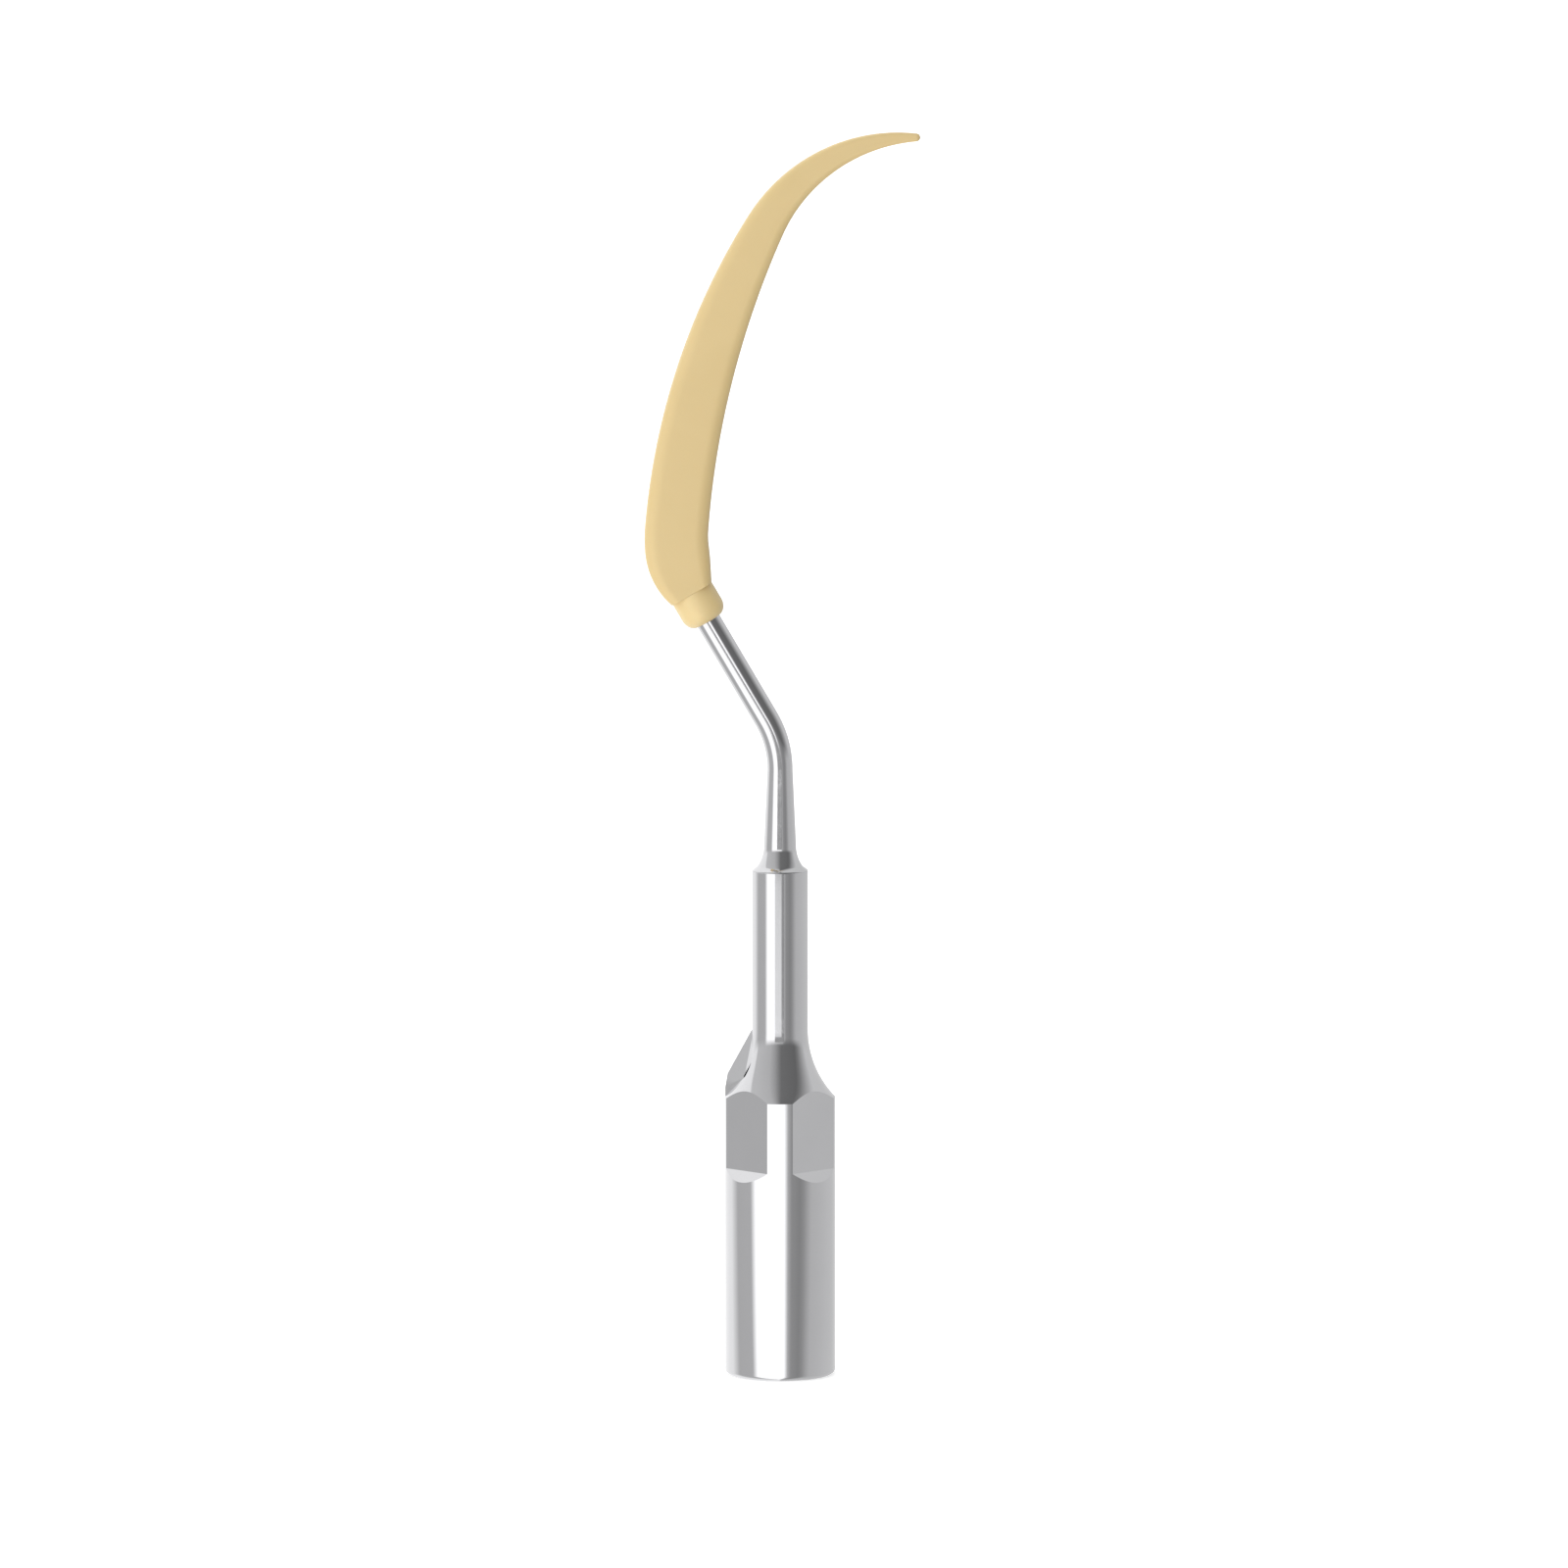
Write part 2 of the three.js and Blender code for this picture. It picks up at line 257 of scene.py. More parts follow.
def turned(name, profile, segments):
    """A ring extruded between stations of [radius, height], which joins itself or is capped."""
    clear_selection()
    (first_radius, first_height), *_ = profile
    bpy.ops.mesh.primitive_circle_add(vertices=segments, radius=first_radius)
    piece = bpy.context.object
    piece.name = name
    bpy.ops.object.mode_set(mode="EDIT")
    bpy.ops.transform.translate(value=(0, 0, first_height))
    for (r0, z0), (r1, z1) in pairwise(profile):
        extrude((0, 0, z1 - z0))
        if r1 != r0:
            share = r1 / r0
            bpy.ops.transform.resize(value=(share, share, 1), center_override=(0, 0, z1))
    close_up()
    return piece


def close_up():
    """Ends an edit: merges what coincides, fills open ends and turns every face outwards."""
    bpy.ops.mesh.select_all(action="SELECT")
    bpy.ops.mesh.remove_doubles(threshold=1e-4)
    bpy.ops.mesh.fill_holes(sides=0)
    bpy.ops.mesh.normals_make_consistent(inside=False)
    bpy.ops.object.mode_set(mode="OBJECT")


def extrude(move):
    """Extrudes what is selected in edit mode."""
    bpy.ops.mesh.extrude_region_move(TRANSFORM_OT_translate={"value": move})


def draw_outline(name, points):
    """A flat face drawn point by point from one vertex, left selected in edit mode."""
    clear_selection()
    bpy.ops.mesh.primitive_plane_add()
    piece = bpy.context.object
    piece.name = name
    bpy.ops.object.mode_set(mode="EDIT")
    bpy.ops.mesh.merge(type="CENTER")
    bpy.ops.transform.translate(value=points[0])
    for start, end in pairwise(map(Vector, points)):
        extrude(end - start)
    bpy.ops.mesh.select_all(action="SELECT")
    bpy.ops.mesh.edge_face_add()
    return piece


def plate(name, outline, thickness):
    """A flat plate of [x, z] outline in the XZ plane, centred on Y."""
    piece = draw_outline(name, [(x, -thickness / 2, z) for x, z in outline])
    extrude((0, thickness, 0))
    close_up()
    return piece


def apply_modifier(piece, kind, **settings):
    make_active(piece)
    modifier = piece.modifiers.new(kind.title(), kind)
    for key, value in settings.items():
        setattr(modifier, key, value)
    bpy.ops.object.modifier_apply(modifier=modifier.name)


def combine(piece, other, operation):
    """Joins or cuts piece by another object, which is used up."""
    apply_modifier(piece, "BOOLEAN", object=other, operation=operation, solver="EXACT")
    bpy.data.objects.remove(other)


def sweep(wide, narrow, base, radius, steps):
    """Stations of a concave sweep from a wide radius up to a narrow one that it meets upright."""
    drop = min(wide - narrow, radius)
    height = math.sqrt(radius**2 - (radius - drop) ** 2)
    start = math.asin(height / radius)
    turns = [start * (1 - i / steps) for i in range(steps + 1)]
    end = base + height
    return [(narrow + radius * (1 - math.cos(a)), end - radius * math.sin(a)) for a in turns]


def rounded_end(bore, wall, rise, steps):
    """Stations from a bore's edge at height 0, over a rounded end, to the outside of the wall."""
    turns = [math.pi / 2 * i / steps for i in range(steps + 1)]
    return [(bore + wall * math.sin(a), rise * (1 - math.cos(a))) for a in turns]


def centre_line(name, runs, start=(0.0, 0.0), heading=0.0):
    """A Bezier curve in the XZ plane, its end and its heading there.

    Runs are straight (length) or arcs (radius, sweep in degrees).
    """
    clear_selection()
    bpy.ops.curve.primitive_bezier_curve_add()
    path = bpy.context.object
    path.name = name
    path.data.resolution_u = 64
    points = path.data.splines[0].bezier_points
    points.add(len(runs) + 1 - len(points))
    place = Vector((start[0], 0, start[1]))
    points[0].co = place
    for i, run in enumerate(runs):
        turn = math.radians(run[1]) if len(run) == 2 else 0.0
        chord = 2 * run[0] * abs(math.sin(turn / 2)) if turn else run[0]
        handle = 4 / 3 * abs(math.tan(turn / 4)) * run[0] if turn else chord / 3
        middle, after = heading + turn / 2, heading + turn
        ends = [points[i], points[i + 1]]
        for end in ends:
            end.handle_left_type = end.handle_right_type = "FREE"
        ends[0].handle_right = place + handle * Vector((math.sin(heading), 0, math.cos(heading)))
        place = place + chord * Vector((math.sin(middle), 0, math.cos(middle)))
        ends[1].co = place
        ends[1].handle_left = place - handle * Vector((math.sin(after), 0, math.cos(after)))
        heading = after
    points[0].handle_left = points[0].co
    points[-1].handle_right = points[-1].co
    return path, (place.x, place.z), heading


def run_length(run):
    """Length of a straight run or of an arc."""
    return run[0] * abs(math.radians(run[1])) if len(run) == 2 else run[0]


def shank_runs(sizes, beyond):
    """The shank's straight, bend and lean, up to a distance beyond the collar's free end."""
    tangent = sizes.bend_radius * math.tan(sizes.bend_angle / 2)
    lean = math.degrees(sizes.bend_angle)
    return [
        (sizes.bend_height - tangent,),
        (sizes.bend_radius, -lean),
        (sizes.reach - tangent + beyond,),
    ]


def collar_start(sizes):
    """Distance along the shank from the mouth to the collar's free end."""
    return sum(map(run_length, shank_runs(sizes, 0)))


def bend_along(piece, path):
    """Bends a straight piece along a path, which is used up."""
    apply_modifier(piece, "CURVE", object=path, deform_axis="POS_Z")
    bpy.data.objects.remove(path)


def finish_piece(piece, node, material, crease=30):
    """Brings a piece to metres, shades it, and puts it in the place of its CAD node."""
    make_active(piece)
    piece.scale = (MM, MM, MM)
    bpy.ops.object.transform_apply(location=True, rotation=True, scale=True)
    bpy.ops.object.shade_smooth_by_angle(angle=math.radians(crease))
    piece.data.materials.clear()
    piece.data.materials.append(material)
    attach(piece, "root")
    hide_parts(node)


# ---------------------------------------------------------------------------
# Materials
# ---------------------------------------------------------------------------


def new_material(name):
    material = bpy.data.materials.new(name)
    material.use_nodes = True
    tree = material.node_tree
    return material, tree, tree.nodes["Principled BSDF"]


def add_node(tree, kind, settings=None, links=None):
    """Adds a node: settings are its own or its sockets' values, links are {socket: output}."""
    node = tree.nodes.new(kind)
    for key, value in (settings or {}).items():
        if isinstance(key, str) and hasattr(node, key):
            setattr(node, key, value)
        else:
            node.inputs[key].default_value = value
    for key, output in (links or {}).items():
        tree.links.new(output, node.inputs[key])
    return node


def polished_steel(name, tint, turning_mm, roughness):
    """Stainless steel, turned and polished.

    The eye gets a near mirror with fine rings left by the tool, a soft haze of polishing marks that
    wanders in strength, and faint darker handling marks. Turning rings are drawn at several times
    their real pitch so that they show.
    """
    material, tree, shader = new_material(name)
    shader.inputs["Metallic"].default_value = 1.0
    where = add_node(tree, "ShaderNodeTexCoord").outputs["Object"]
    rings = add_node(
        tree,
        "ShaderNodeMapping",
        {"Scale": (0.02, 0.02, 1.0)},
        {"Vector": where},
    ).outputs["Vector"]
    tool_marks = add_node(
        tree,
        "ShaderNodeTexNoise",
        {"Scale": 1 / (turning_mm * MM), "Detail": 3.0, "Roughness": 0.6},
        {"Vector": rings},
    ).outputs["Fac"]
    haze = add_node(
        tree,
        "ShaderNodeTexNoise",
        {"Scale": 1 / (1.6 * MM), "Detail": 4.0, "Roughness": 0.55},
        {"Vector": where},
    ).outputs["Fac"]
    scuffs = add_node(
        tree,
        "ShaderNodeTexNoise",
        {"Scale": 1 / (0.22 * MM), "Detail": 2.0, "Distortion": 1.5},
        {"Vector": where},
    ).outputs["Fac"]
    product = {"operation": "MULTIPLY"}
    marks = add_node(tree, "ShaderNodeMath", product, {0: haze, 1: scuffs}).outputs[0]
    smooth, dull = roughness * 0.7, roughness * 1.6
    rough = add_node(
        tree,
        "ShaderNodeMapRange",
        {"From Min": 0.1, "From Max": 0.45, "To Min": smooth, "To Max": dull},
        {"Value": marks},
    ).outputs["Result"]
    tree.links.new(rough, shader.inputs["Roughness"])
    shade = add_node(
        tree,
        "ShaderNodeMix",
        {"data_type": "RGBA", 6: (*[c * 0.94 for c in tint], 1), 7: (*tint, 1)},
        {0: haze},
    ).outputs[2]
    tree.links.new(shade, shader.inputs["Base Color"])
    bump = add_node(
        tree,
        "ShaderNodeBump",
        {"Strength": 0.05, "Distance": 0.002 * MM},
        {"Height": tool_marks},
    ).outputs["Normal"]
    tree.links.new(bump, shader.inputs["Normal"])
    return material


def moulded_peek(name, tint, roughness):
    """PEEK, injection moulded from a satin tool.

    The eye gets a warm beige with slight clouding from the melt, a very fine spark-eroded grain
    that breaks up the highlight, and light that soaks in a little at thin edges. The grain is
    drawn about twice as coarse as the real one.
    """
    material, tree, shader = new_material(name)
    shader.inputs["IOR"].default_value = 1.62
    shader.inputs["Subsurface Weight"].default_value = 0.08
    shader.inputs["Subsurface Radius"].default_value = (1.0, 0.7, 0.35)
    shader.inputs["Subsurface Scale"].default_value = 0.25 * MM
    where = add_node(tree, "ShaderNodeTexCoord").outputs["Object"]
    clouds = add_node(
        tree,
        "ShaderNodeTexNoise",
        {"Scale": 1 / (3.0 * MM), "Detail": 3.0, "Roughness": 0.5, "Distortion": 0.6},
        {"Vector": where},
    ).outputs["Fac"]
    grain = add_node(
        tree,
        "ShaderNodeTexNoise",
        {"Scale": 1 / (0.06 * MM), "Detail": 4.0, "Roughness": 0.65},
        {"Vector": where},
    ).outputs["Fac"]
    pale = [min(1, c * 1.03) for c in tint]
    deep = [c * f for c, f in zip(tint, (0.97, 0.955, 0.92))]
    shade = add_node(
        tree,
        "ShaderNodeMix",
        {"data_type": "RGBA", 6: (*deep, 1), 7: (*pale, 1)},
        {0: clouds},
    ).outputs[2]
    tree.links.new(shade, shader.inputs["Base Color"])
    smooth, dull = roughness - 0.06, roughness + 0.06
    rough = add_node(
        tree,
        "ShaderNodeMapRange",
        {"From Min": 0.3, "From Max": 0.7, "To Min": smooth, "To Max": dull},
        {"Value": grain},
    ).outputs["Result"]
    tree.links.new(rough, shader.inputs["Roughness"])
    bump = add_node(
        tree,
        "ShaderNodeBump",
        {"Strength": 0.18, "Distance": 0.006 * MM},
        {"Height": grain},
    ).outputs["Normal"]
    # The mould halves meet on the plane of the curve and leave a fine raised line.
    depth = add_node(tree, "ShaderNodeSeparateXYZ", {}, {0: where}).outputs["Y"]
    from_plane = add_node(tree, "ShaderNodeMath", {"operation": "ABSOLUTE"}, {0: depth}).outputs[0]
    line = add_node(
        tree,
        "ShaderNodeMapRange",
        {"From Min": 0.0, "From Max": 0.03 * MM, "To Min": 1.0, "To Max": 0.0},
        {"Value": from_plane},
    ).outputs["Result"]
    parting = add_node(
        tree,
        "ShaderNodeBump",
        {"Strength": 0.6, "Distance": 0.012 * MM},
        {"Height": line, "Normal": bump},
    ).outputs["Normal"]
    tree.links.new(parting, shader.inputs["Normal"])
    return material


# ---------------------------------------------------------------------------
# Holder
# ---------------------------------------------------------------------------


class SCALER_OT_holder(bpy.types.Operator):
    """Turns the steel holder, mills its flats and cuts its thread"""

    bl_idname = "scaler.holder"
    bl_label = "Holder"

    def execute(self, context):
        s = context.scene.scaler_holder
        holder = self.blank(s, context.scene.scaler_shank)
        combine(holder, self.fin(s), "UNION")
        for index in range(s.flats):
            combine(holder, self.flat_cutter(s, index), "DIFFERENCE")
        combine(holder, self.thread_cutter(s), "DIFFERENCE")
        name = "Stainless steel, turned and polished"
        steel = polished_steel(name, s.steel, turning_mm=0.05, roughness=0.07)
        finish_piece(holder, "socket_body", steel)
        return {"FINISHED"}

    def blank(self, s, shank):
        body, stem = s.body / 2, s.stem / 2
        minor = s.thread / 2 - s.thread_depth
        mouth = s.thread / 2 + s.lead_in / 2
        socket_top = s.lead_in + s.turns * s.pitch + s.relief
        drill_point = (minor - s.water / 2) / math.tan(DRILL_POINT)
        spigot = shank.spigot / 2 + FIT
        floor = SHANK_LOW.z - FIT
        knee_in, knee_up = (s.mouth_chamfer * part for part in MOUTH_KNEE)
        profile = [
            (mouth, 0),
            (body - s.mouth_chamfer, 0),
            (body - knee_in, knee_up),
            (body, s.mouth_chamfer),
            *sweep(body, stem, s.shoulder, s.neck_radius, NECK_STEPS),
            (stem, s.top - s.stem_edge),
            (stem - s.stem_edge, s.top),
            (spigot, s.top),
            (spigot, floor),
            (s.water / 2, floor),
            (s.water / 2, socket_top + drill_point),
            (minor, socket_top),
            (minor, s.lead_in),
            (mouth, 0),
        ]
        return turned("holder", profile, HOLDER_SIDES)

    def fin(self, s):
        """A three-cornered section with a square edge, drawn up the neck's left side."""
        body, stem = s.body / 2, s.stem / 2
        neck_top = sweep(body, stem, s.shoulder, s.neck_radius, 1)[-1][1]
        edge = [
            (body - FIT, s.shoulder - s.fin_foot),
            (body - FIT, s.shoulder + s.fin_foot),
            (body - FIT - s.fin_knee_inset, s.shoulder + s.fin_knee),
            (stem, neck_top),
        ]
        radius, low = edge[0]
        buried = s.fin - radius
        fin = draw_outline("fin", [(-radius, 0, low), (buried, -s.fin, low), (buried, s.fin, low)])
        for (r0, z0), (r1, z1) in pairwise(edge):
            extrude((r0 - r1, 0, z1 - z0))
        close_up()
        return fin

    def flat_cutter(self, s, index):
        """The flat's upright face and its sloped ledge, carried on well outside the body."""
        ledge = s.shoulder - s.flat_height
        face, outer = s.body / 2 - s.flat_depth, s.body
        drop = s.ledge_drop * (outer - face) / s.flat_depth
        outline = [(face, ledge), (outer, ledge - drop), (outer, s.top), (face, s.top)]
        cutter = plate("cutter", outline, s.body)
        cutter.rotation_euler.z = (index + 0.5) * math.tau / s.flats
        return cutter

    def thread_cutter(self, s):
        """A section swept up the helix of the thread."""
        root, crest = THREAD_ROOT * s.pitch, THREAD_CREST * s.pitch
        major = s.thread / 2
        inner = major - s.thread_depth - THREAD_OVERLAP
        outline = [
            (inner, s.lead_in - root),
            (major, s.lead_in - crest),
            (major, s.lead_in + crest),
            (inner, s.lead_in + root),
        ]
        coil = draw_outline("thread", [(x, 0, z) for x, z in outline])
        bpy.ops.mesh.delete(type="ONLY_FACE")
        bpy.ops.object.mode_set(mode="OBJECT")
        apply_modifier(
            coil,
            "SCREW",
            angle=s.turns * math.tau,
            screw_offset=s.turns * s.pitch,
            steps=s.turns * THREAD_SIDES,
            render_steps=s.turns * THREAD_SIDES,
            use_merge_vertices=False,
        )
        bpy.ops.object.mode_set(mode="EDIT")
        close_up()
        return coil


# ---------------------------------------------------------------------------
# Shank
# ---------------------------------------------------------------------------


class SCALER_OT_shank(bpy.types.Operator):
    """Turns the steel shank straight, then bends it"""

    bl_idname = "scaler.shank"
    bl_label = "Shank"

    def execute(self, context):
        s, blade = context.scene.scaler_shank, context.scene.scaler_blade
        holder = context.scene.scaler_holder
        top, stem = holder.top, holder.stem / 2 - holder.stem_edge
        shoulder = collar_start(s) + blade.collar_length
        tang_end = shoulder + s.tang_length
        seat = top + SEAM
        rim = self.rim(s, stem, seat)
        rim_radius, rim_top = rim[-1]
        flare = sweep(rim_radius, s.root / 2, rim_top, s.flare, FLARE_STEPS)
        bend_foot = s.bend_height - s.bend_radius * math.tan(s.bend_angle / 2)
        bore_top = top + s.outlet_rise
        step = (shoulder - bend_foot) / ROD_STEPS
        rod = [(s.rod / 2, bend_foot + step * i) for i in range(ROD_STEPS + 1)]
        profile = [
            (s.bore / 2, bore_top),
            (s.bore / 2, SHANK_LOW.z),
            (s.spigot / 2, SHANK_LOW.z),
            (s.spigot / 2, seat),
            *rim,
            *flare[1:],
            *rod,
            (s.tang / 2, shoulder),
            (s.tang / 2, tang_end - TANG_BEVEL),
            (s.tang / 2 - TANG_BEVEL, tang_end),
        ]
        shank = turned("bent_shank", profile, SHANK_SIDES)
        bend_along(shank, centre_line("shank_path", shank_runs(s, shoulder))[0])
        combine(shank, self.outlet(s, stem, bore_top), "DIFFERENCE")
        name = "Stainless steel, drawn and polished"
        steel = polished_steel(name, holder.steel, turning_mm=0.05, roughness=0.08)
        finish_piece(shank, "shank", steel)
        return {"FINISHED"}

    def rim(self, s, stem, seat):
        """The root's rim: a rounded edge, then a cone up to the flare."""
        turns = [s.rim_turn * i / RIM_STEPS for i in range(RIM_STEPS + 1)]
        rounding, middle = s.rim_round, stem - s.rim_round
        edge = [(middle + rounding * math.cos(a), seat + rounding * math.sin(a)) for a in turns]
        radius, height = edge[-1]
        top = seat + s.rim_height
        return [*edge, (radius - (top - height) * math.tan(s.rim_turn), top)]

    def outlet(self, s, stem, bore_top):
        """Drill for the water hole, from the back to the bore."""
        clear_selection()
        bpy.ops.mesh.primitive_cylinder_add(
            vertices=OUTLET_SIDES,
            radius=s.outlet / 2,
            depth=stem,
            location=(0, stem / 2, bore_top - s.outlet / 2),
            rotation=(math.pi / 2, 0, 0),
        )
        return bpy.context.object


# ---------------------------------------------------------------------------
# Collar and blade
# ---------------------------------------------------------------------------


class SCALER_OT_blade(bpy.types.Operator):
    """Moulds the collar and the curved blade"""

    bl_idname = "scaler.blade"
    bl_label = "Collar and blade"

    def execute(self, context):
        s, shank = context.scene.scaler_blade, context.scene.scaler_shank
        self.collar(s, shank)
        self.moulding(s, shank)
        return {"FINISHED"}

    def collar(self, s, shank):
        """A ring round the shank, turned straight and then bent with it."""
        bore = shank.rod / 2 + SEAM
        radius = shank.rod / 2 + FIT + s.collar_wall
        top = s.collar_length - SEAM
        start = collar_start(shank)
        stations = [
            *rounded_end(bore, radius - bore, s.collar_round, COLLAR_STEPS),
            (radius, top - SEAM),
            (radius - SEAM, top),
            (bore, top),
            (bore, 0),
        ]
        collar = turned("collar", [(r, start + z) for r, z in stations], COLLAR_SIDES)
        bend_along(collar, centre_line("collar_path", shank_runs(shank, 2 * top))[0])
        # A paler copy of the blade's PEEK: its lighter tone is a painted highlight for the light on
        # the collar's rounded end.
        peek = moulded_peek("PEEK, moulded collar, painted highlight", s.collar_peek_painted_highlight, roughness=0.36)
        finish_piece(collar, "blade_collar", peek)

    def halves(self, s, along, span):
        """Half width and half thickness at a distance from the collar's free end."""
        part = min(along / span, 1)
        taper = math.cos(math.pi / 2 * part**s.taper)
        swell = min(max((along - s.collar_length) / (s.swell - s.collar_length), 0), 1)
        rise = 1 - (1 - s.root_share) * (1 - swell) ** 2
        past = max(0, along - (span - s.point_round)) / s.point_round
        end = math.sqrt(1 - POINT_CLOSING * past**2)
        width = rise * (s.point + (s.width - s.point) * taper)
        thickness = s.point + (s.thickness - s.point) * taper
        return end * width / 2, end * thickness / 2

    def tang_room(self, s, shank):
        """Stands for the shank's tang while the moulding closes on it."""
        radius = shank.tang / 2 + FIT
        shoulder = collar_start(shank) + s.collar_length
        top = shoulder + shank.tang_length + FIT
        room = turned("tang_room", [(radius, shoulder - ROOM_OVERRUN), (radius, top)], ROOM_SIDES)
        bend_along(room, centre_line("tang_path", shank_runs(shank, 2 * s.collar_length))[0])
        return room

    def stations(self, low, high):
        """Distances along the blade, closer together at its ends."""
        evenly = [i / BLADE_STEPS for i in range(BLADE_STEPS + 1)]
        crowded = [u - CROWDING * math.sin(math.tau * u) / math.tau for u in evenly]
        return [low + (high - low) * u for u in crowded]

    def moulding(self, s, shank):
        """The section's width is modelled along Y, because its path turns it a quarter."""
        span = sum(map(run_length, BLADE_RUNS))
        stations = self.stations(s.collar_length, span)
        clear_selection()
        bpy.ops.mesh.primitive_plane_add(size=2)
        blade = bpy.context.object
        blade.name = "curved_blade"
        bpy.ops.object.mode_set(mode="EDIT")
        across, deep = self.halves(s, stations[0], span)
        bpy.ops.transform.resize(value=(deep, across, 1))
        bpy.ops.mesh.bevel(affect="VERTICES", offset=s.edge, segments=EDGE_STEPS, profile=0.5)
        bpy.ops.transform.translate(value=(0, 0, stations[0]))
        for low, high in pairwise(stations):
            wide, thick = self.halves(s, high, span)
            extrude((0, 0, high - low))
            grow = (thick / deep, wide / across, 1)
            bpy.ops.transform.resize(value=grow, center_override=(0, 0, high))
            across, deep = wide, thick
        close_up()
        _, place, heading = centre_line("start", shank_runs(shank, 0))
        bpy.data.objects.remove(bpy.data.objects["start"])
        bend_along(blade, centre_line("blade_path", BLADE_RUNS, place, heading)[0])
        combine(blade, self.tang_room(s, shank), "DIFFERENCE")
        peek = moulded_peek("PEEK, moulded blade", s.peek, roughness=0.42)
        finish_piece(blade, "blade", peek, crease=40)


# ---------------------------------------------------------------------------
# Studio
# ---------------------------------------------------------------------------


# Panels round the object: degrees from the camera, positive to the right, and brightness.
LOW_PANELS = [
    (-180, 0.70),
    (-122, 0.68),
    (-100, 0.36),
    (-64, 0.37),
    (-52, 1.0),
    (9, 1.0),
    (17, 0.36),
    (25, 0.235),
    (42, 0.20),
    (51, 0.24),
    (60, 0.32),
    (69, 0.385),
    (117, 0.435),
    (180, 0.44),
]
HIGH_PANELS = [
    (-180, 0.70),
    (-130, 0.72),
    (-99, 0.68),
    (-94.5, 0.44),
    (-84, 0.44),
    (-38, 0.385),
    (-17, 0.27),
    (-6, 0.19),
    (4, 0.13),
    (58, 0.11),
    (70, 0.16),
    (82, 0.25),
    (110, 0.47),
    (180, 0.44),
]
# Front card, mm: left, right, low, high and distance in front, and its tones from low to high.
FRONT_CARD = (-38, 30, 1, 20, 100)
CARD_TONES = [(0.0, 0.62), (0.38, 0.60), (0.48, 0.26), (1.0, 0.24)]
CARD_SIDE_TONES = [(0.0, 1.0), (0.64, 1.0), (0.72, 0.34), (0.8, 0.24), (1.0, 0.22)]
# Soft light on what isn't polished: brightness on the left, ahead and on the right, and how much
# more comes from below than from level.
SOFT_SIDES = [(0.0, 1.35), (0.5, 1.28), (1.0, 0.2)]
SOFT_BELOW = 0.2
PANEL_LIGHT = 1.75
PANEL_JOIN = (-1, 6)  # degrees above level between which the low ring gives way to the high one
FLOOR_SIZE = 40  # metres, so that its edge is never in view
FLOOR_DROP = 0.00002  # metres below the mouth, so that the two don't share a face


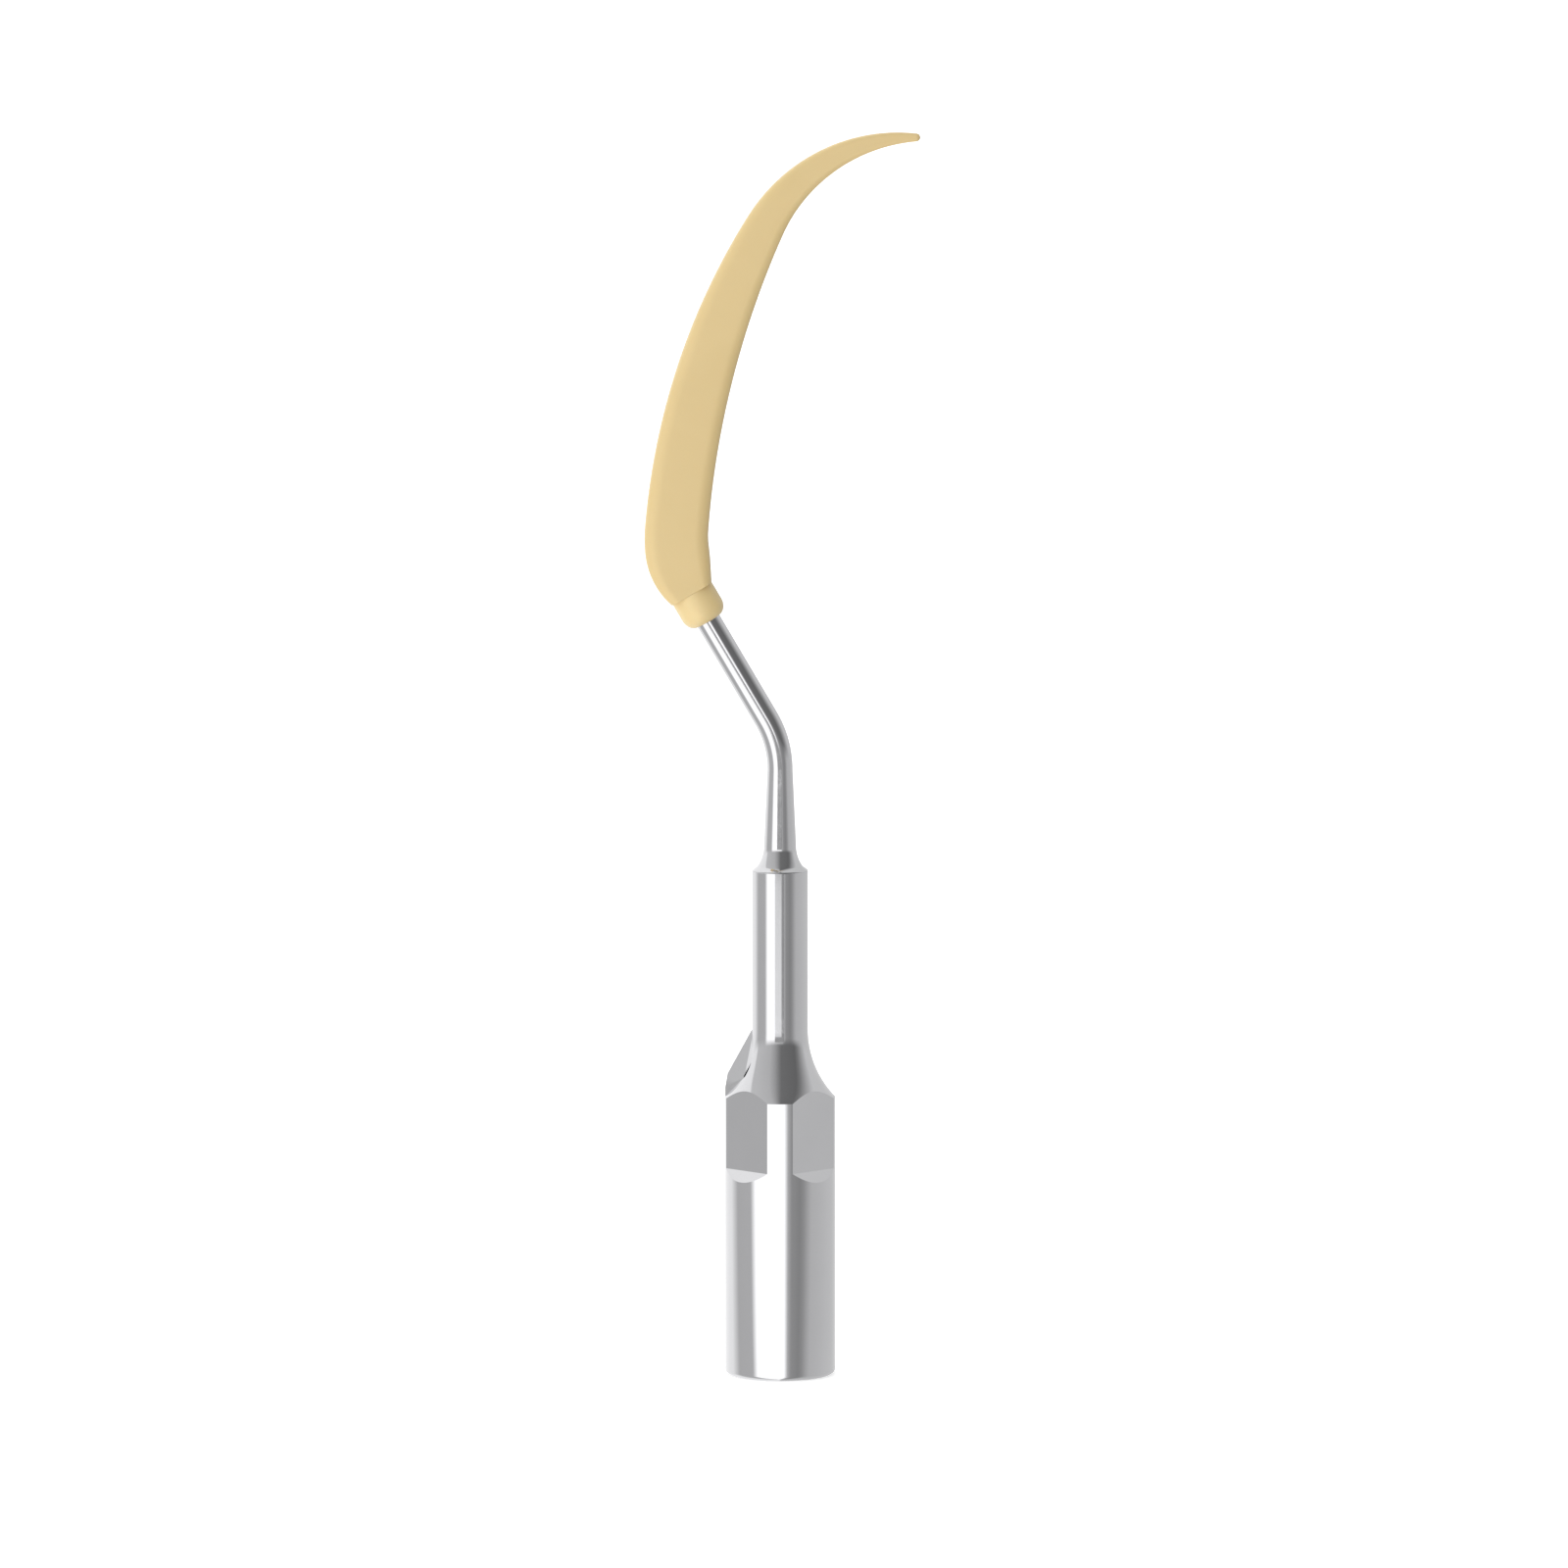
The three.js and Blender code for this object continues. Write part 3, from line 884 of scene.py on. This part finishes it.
class SCALER_OT_studio(bpy.types.Operator):
    """Sets up the camera, the pale floor and the soft light"""

    bl_idname = "scaler.studio"
    bl_label = "Studio"

    def execute(self, context):
        s = context.scene.scaler_studio
        self.camera(context, s)
        self.floor()
        self.front_card()
        self.light(context)
        context.scene.view_settings.view_transform = "Standard"
        return {"FINISHED"}

    def camera(self, context, s):
        """Looks along +Y from far off and a little above."""
        data = bpy.data.cameras.new("camera")
        data.lens = data.sensor_width * s.distance / s.span
        data.clip_start, data.clip_end = 0.01, 100
        camera = bpy.data.objects.new("camera", data)
        context.collection.objects.link(camera)
        back = Vector((0, -math.cos(s.elevation), math.sin(s.elevation)))
        camera.location = (Vector((s.aim_x, 0, s.aim_z)) + back * s.distance) * MM
        camera.rotation_euler = (-back).to_track_quat("-Z", "Y").to_euler()
        context.scene.camera = camera

    def floor(self):
        """Pale paper, open from below so that it never hides the object."""
        clear_selection()
        bpy.ops.mesh.primitive_plane_add(size=FLOOR_SIZE, location=(0, 0, CAD_LOW.z - FLOOR_DROP))
        floor = bpy.context.object
        floor.name = "floor"
        floor.visible_glossy = floor.visible_diffuse = False
        material, tree, shader = new_material("Paper, matt white")
        shader.inputs["Base Color"].default_value = (*srgb("#f6f6f6"), 1)
        shader.inputs["Roughness"].default_value = 0.9
        shader.inputs["Specular IOR Level"].default_value = 0.1
        shader.inputs["Emission Color"].default_value = (1, 1, 1, 1)
        shader.inputs["Emission Strength"].default_value = 0.5
        behind = add_node(tree, "ShaderNodeNewGeometry").outputs["Backfacing"]
        clear = add_node(tree, "ShaderNodeBsdfTransparent").outputs[0]
        faces = {0: behind, 1: shader.outputs[0], 2: clear}
        mix = add_node(tree, "ShaderNodeMixShader", {}, faces)
        tree.links.new(mix.outputs[0], tree.nodes["Material Output"].inputs["Surface"])
        floor.data.materials.append(material)

    def front_card(self):
        """A grey card a little in front of the object, which only its upper steel reflects."""
        left, right, low, high, away = FRONT_CARD
        clear_selection()
        bpy.ops.mesh.primitive_plane_add(size=MM, rotation=(math.pi / 2, 0, 0))
        bpy.ops.transform.resize(value=(right - left, 1, high - low))
        middle = ((left + right) / 2, -away, (low + high) / 2)
        bpy.ops.transform.translate(value=[c * MM for c in middle])
        bpy.ops.object.transform_apply(location=True, rotation=True, scale=True)
        card = bpy.context.object
        card.name = "front_card"
        card.visible_camera = card.visible_diffuse = card.visible_shadow = False
        material, tree, shader = new_material("Card, matt grey")
        shader.inputs["Base Color"].default_value = (0, 0, 0, 1)
        shader.inputs["Emission Strength"].default_value = PANEL_LIGHT
        where = add_node(tree, "ShaderNodeTexCoord").outputs["Object"]
        place = add_node(tree, "ShaderNodeSeparateXYZ", {}, {0: where})
        share = add_node(
            tree,
            "ShaderNodeMapRange",
            {"From Min": low * MM, "From Max": high * MM},
            {"Value": place.outputs["Z"]},
        ).outputs["Result"]
        side = add_node(
            tree,
            "ShaderNodeMapRange",
            {"From Min": left * MM, "From Max": right * MM},
            {"Value": place.outputs["X"]},
        ).outputs["Result"]
        tones = self.ramp(tree, share, CARD_TONES), self.ramp(tree, side, CARD_SIDE_TONES)
        darker = add_node(
            tree,
            "ShaderNodeMix",
            {"data_type": "RGBA", "blend_type": "DARKEN", 0: 1.0},
            {6: tones[0], 7: tones[1]},
        ).outputs[2]
        tree.links.new(darker, shader.inputs["Emission Color"])
        card.data.materials.append(material)

    def light(self, context):
        """Pale and grey panels all round for the steel, and soft light for the rest."""
        world = bpy.data.worlds.new("studio")
        context.scene.world = world
        world.use_nodes = True
        tree = world.node_tree
        tree.nodes.clear()
        way = add_node(tree, "ShaderNodeTexCoord").outputs["Generated"]
        parts = add_node(tree, "ShaderNodeSeparateXYZ", {}, {0: way})
        forward = add_node(
            tree,
            "ShaderNodeMath",
            {"operation": "MULTIPLY", 1: -1.0},
            {0: parts.outputs["Y"]},
        )
        turn = add_node(
            tree,
            "ShaderNodeMath",
            {"operation": "ARCTAN2"},
            {0: parts.outputs["X"], 1: forward.outputs[0]},
        ).outputs[0]
        round_share = add_node(
            tree,
            "ShaderNodeMapRange",
            {"From Min": -math.pi, "From Max": math.pi},
            {"Value": turn},
        ).outputs["Result"]
        low = self.panels(tree, round_share, LOW_PANELS)
        high = self.panels(tree, round_share, HIGH_PANELS)
        join_low, join_high = (math.sin(math.radians(degrees)) for degrees in PANEL_JOIN)
        rise = add_node(
            tree,
            "ShaderNodeMapRange",
            {"From Min": join_low, "From Max": join_high},
            {"Value": parts.outputs["Z"]},
        ).outputs["Result"]
        studio = add_node(
            tree,
            "ShaderNodeMix",
            {"data_type": "RGBA"},
            {0: rise, 6: low, 7: high},
        ).outputs[2]
        across = add_node(
            tree,
            "ShaderNodeMapRange",
            {"From Min": -1.0, "From Max": 1.0},
            {"Value": parts.outputs["X"]},
        ).outputs["Result"]
        sides = self.ramp(tree, across, SOFT_SIDES)
        side = add_node(
            tree,
            "ShaderNodeMath",
            {"operation": "MULTIPLY_ADD", 1: -SOFT_BELOW},
            {0: parts.outputs["Z"], 2: sides},
        ).outputs[0]
        ray = add_node(tree, "ShaderNodeLightPath").outputs
        strength, white = {"Strength": PANEL_LIGHT}, {"Color": (1, 1, 1, 1)}
        reflected = add_node(tree, "ShaderNodeBackground", strength, {"Color": studio})
        soft = add_node(tree, "ShaderNodeBackground", white, {"Strength": side})
        either = add_node(
            tree,
            "ShaderNodeMixShader",
            {},
            {0: ray["Is Glossy Ray"], 1: soft.outputs[0], 2: reflected.outputs[0]},
        )
        output = add_node(tree, "ShaderNodeOutputWorld")
        tree.links.new(either.outputs[0], output.inputs["Surface"])

    def panels(self, tree, share, stops):
        """A ring of panels: stops are (degrees round from the camera, brightness)."""
        return self.ramp(tree, share, [((degrees + 180) / 360, light) for degrees, light in stops])

    def ramp(self, tree, share, stops):
        """Greys along a share from 0 to 1: stops are (share, brightness)."""
        ramp = add_node(tree, "ShaderNodeValToRGB", {}, {"Fac": share})
        elements = ramp.color_ramp.elements
        elements.remove(elements[-1])
        for i, (place, light) in enumerate(stops):
            element = elements[0] if i == 0 else elements.new(place)
            element.position = place
            element.color = (light, light, light, 1)
        return ramp.outputs["Color"]


# ---------------------------------------------------------------------------
# Add-on
# ---------------------------------------------------------------------------


class SCALER_PT_panel(bpy.types.Panel):
    """Lists the pieces and the studio"""

    bl_label = "Scaler Tip"
    bl_idname = "SCALER_PT_panel"
    bl_space_type = "VIEW_3D"
    bl_region_type = "UI"
    bl_category = "Scaler Tip"

    def draw(self, context):
        for step in STEPS:
            self.layout.operator(step.bl_idname)


GROUPS = {
    "scaler_holder": HolderSizes,
    "scaler_shank": ShankSizes,
    "scaler_blade": BladeSizes,
    "scaler_studio": StudioSettings,
}
STEPS = [SCALER_OT_holder, SCALER_OT_shank, SCALER_OT_blade, SCALER_OT_studio]


def register():
    for cls in [*GROUPS.values(), *STEPS, SCALER_PT_panel]:
        bpy.utils.register_class(cls)
    for name, group in GROUPS.items():
        setattr(bpy.types.Scene, name, bpy.props.PointerProperty(type=group))


def unregister():
    for name in GROUPS:
        delattr(bpy.types.Scene, name)
    for cls in reversed([*GROUPS.values(), *STEPS, SCALER_PT_panel]):
        bpy.utils.unregister_class(cls)


def main():
    register()
    bpy.ops.scaler.holder()
    bpy.ops.scaler.shank()
    bpy.ops.scaler.blade()
    bpy.ops.scaler.studio()


if __name__ == "__main__":
    main()
